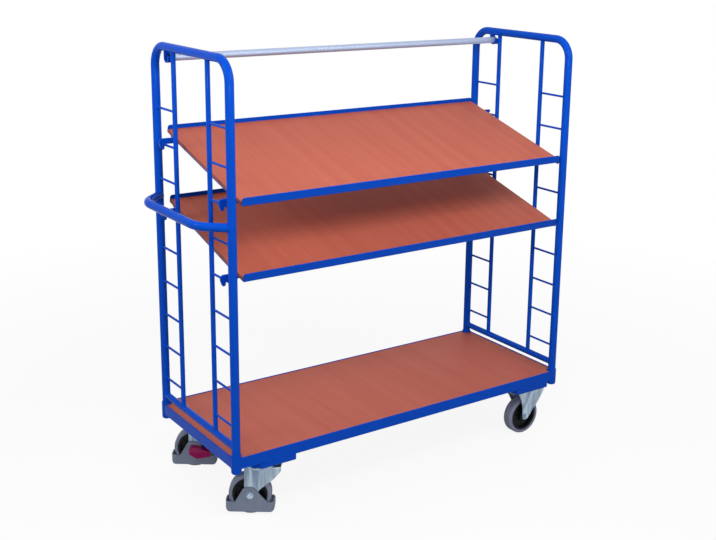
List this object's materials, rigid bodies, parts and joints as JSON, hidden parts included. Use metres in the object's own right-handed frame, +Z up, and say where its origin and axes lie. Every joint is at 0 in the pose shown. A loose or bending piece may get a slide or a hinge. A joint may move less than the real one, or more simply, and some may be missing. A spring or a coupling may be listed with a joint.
{
  "type": "shelf trolley",
  "caption": "Blue tubular shelf trolley with sloping wood-faced shelves hung on ladder end frames, a wood deck, a side push handle and castors with foot guards and brakes.",
  "frame": {"origin": "on the floor, under the middle of the bounding box", "axes": "+Z up; +X along the trolley from the push handle to the fixed castors; the shelves slope down towards the front, -Y"},
  "size_m": [1.307, 0.5017, 1.337],
  "materials": {
    "blue_powder_coat": "semi-gloss",
    "shelf_board": "satin",
    "deck_board": "satin",
    "zinc_plated_steel": "satin",
    "tie_rod_steel": "bright zinc",
    "tyre": "matt",
    "black_plastic": "matt",
    "guard_plastic": "matt",
    "pedal_plastic": "semi-gloss"
  },
  "bodies": {
    "frame": {"base_front_rail": "blue_powder_coat", "base_rear_rail": "blue_powder_coat", "base_handle_end_rail": "blue_powder_coat", "base_far_end_rail": "blue_powder_coat", "corner_sockets": "blue_powder_coat", "swivel_castor_carrier": "blue_powder_coat", "fixed_castor_carrier": "blue_powder_coat", "castor_plate_fasteners": "zinc_plated_steel", "base_board": "deck_board", "base_board_screws": "zinc_plated_steel", "handle_end_hoop": "blue_powder_coat", "handle_end_rungs": "blue_powder_coat", "far_end_hoop": "blue_powder_coat", "far_end_rungs": "blue_powder_coat", "cross_tubes": "blue_powder_coat", "inner_rods": "blue_powder_coat", "push_handle": "blue_powder_coat", "tie_rod": "tie_rod_steel", "tie_rod_plugs": "black_plastic", "tie_rod_hooks": "blue_powder_coat", "swivel_top_plates": "zinc_plated_steel", "swivel_king_pins": "zinc_plated_steel", "fixed_castor_forks": "zinc_plated_steel", "fixed_axle_fasteners": "zinc_plated_steel", "fixed_axle_sleeves": "zinc_plated_steel"},
    "upper_shelf": {"upper_shelf_board": "shelf_board", "upper_shelf_front_rail": "blue_powder_coat", "upper_shelf_rear_rail": "blue_powder_coat", "upper_shelf_cross_bars": "blue_powder_coat", "upper_shelf_hooks": "blue_powder_coat", "upper_shelf_screws": "zinc_plated_steel"},
    "lower_shelf": {"lower_shelf_board": "shelf_board", "lower_shelf_front_rail": "blue_powder_coat", "lower_shelf_rear_rail": "blue_powder_coat", "lower_shelf_cross_bars": "blue_powder_coat", "lower_shelf_hooks": "blue_powder_coat", "lower_shelf_screws": "zinc_plated_steel"},
    "front_swivel_castor": {"front_swivel_fork": "zinc_plated_steel", "front_swivel_balls": "zinc_plated_steel", "front_swivel_foot_guard": "guard_plastic", "front_swivel_axle_fasteners": "zinc_plated_steel", "front_swivel_axle_sleeve": "zinc_plated_steel"},
    "front_swivel_wheel": {"front_swivel_wheel_core": "black_plastic", "front_swivel_tyre": "tyre"},
    "front_brake_pedal": {"front_swivel_brake_pedal": "pedal_plastic"},
    "front_brake_shoe": {"front_swivel_brake_shoe": "zinc_plated_steel"},
    "front_fixed_wheel": {"front_fixed_wheel_core": "black_plastic", "front_fixed_tyre": "tyre"},
    "rear_swivel_castor": {"rear_swivel_fork": "zinc_plated_steel", "rear_swivel_balls": "zinc_plated_steel", "rear_swivel_foot_guard": "guard_plastic", "rear_swivel_axle_fasteners": "zinc_plated_steel", "rear_swivel_axle_sleeve": "zinc_plated_steel"},
    "rear_swivel_wheel": {"rear_swivel_wheel_core": "black_plastic", "rear_swivel_tyre": "tyre"},
    "rear_brake_pedal": {"rear_swivel_brake_pedal": "pedal_plastic"},
    "rear_brake_shoe": {"rear_swivel_brake_shoe": "zinc_plated_steel"},
    "rear_fixed_wheel": {"rear_fixed_wheel_core": "black_plastic", "rear_fixed_tyre": "tyre"}
  },
  "joints": [
    {"name": "upper_shelf_lift", "type": "slide", "parent": "frame", "child": "upper_shelf", "axis": [0, 0, 1], "range_m": [0, 0.03]},
    {"name": "lower_shelf_lift", "type": "slide", "parent": "frame", "child": "lower_shelf", "axis": [0, 0, 1], "range_m": [0, 0.03]},
    {"name": "front_swivel_turn", "type": "hinge", "parent": "frame", "child": "front_swivel_castor", "pos_m": [-0.461, -0.18989, 0.155], "axis": [0, 0, 1], "continuous": true},
    {"name": "front_swivel_wheel_spin", "type": "hinge", "parent": "front_swivel_castor", "child": "front_swivel_wheel", "pos_m": [-0.48949, -0.16956, 0.0625], "axis": [0.5807, 0.8141, 0], "continuous": true},
    {"name": "front_brake_pedal_press", "type": "hinge", "parent": "front_swivel_castor", "child": "front_brake_pedal", "pos_m": [-0.47265, -0.14595, 0.0625], "axis": [0.5807, 0.8141, 0], "range_deg": [0, 18]},
    {"name": "front_brake_shoe_drop", "type": "slide", "parent": "front_swivel_castor", "child": "front_brake_shoe", "axis": [0, 0, -1], "range_m": [0, 0.002]},
    {"name": "front_fixed_wheel_spin", "type": "hinge", "parent": "frame", "child": "front_fixed_wheel", "pos_m": [0.54, -0.18989, 0.0625], "axis": [0, 1, 0], "continuous": true},
    {"name": "rear_swivel_turn", "type": "hinge", "parent": "frame", "child": "rear_swivel_castor", "pos_m": [-0.461, 0.17411, 0.155], "axis": [0, 0, 1], "continuous": true},
    {"name": "rear_swivel_wheel_spin", "type": "hinge", "parent": "rear_swivel_castor", "child": "rear_swivel_wheel", "pos_m": [-0.48949, 0.19444, 0.0625], "axis": [0.5807, 0.8141, 0], "continuous": true},
    {"name": "rear_brake_pedal_press", "type": "hinge", "parent": "rear_swivel_castor", "child": "rear_brake_pedal", "pos_m": [-0.50633, 0.17083, 0.0625], "axis": [0.5807, 0.8141, 0], "range_deg": [0, 18]},
    {"name": "rear_brake_shoe_drop", "type": "slide", "parent": "rear_swivel_castor", "child": "rear_brake_shoe", "axis": [0, 0, -1], "range_m": [0, 0.002]},
    {"name": "rear_fixed_wheel_spin", "type": "hinge", "parent": "frame", "child": "rear_fixed_wheel", "pos_m": [0.54, 0.17411, 0.0625], "axis": [0, 1, 0], "continuous": true}
  ],
  "couplings": [
    {"joint": "front_brake_shoe_drop", "follows": "front_brake_pedal_press", "m_per_rad": 0.0063},
    {"joint": "rear_brake_shoe_drop", "follows": "rear_brake_pedal_press", "m_per_rad": 0.0063}
  ]
}
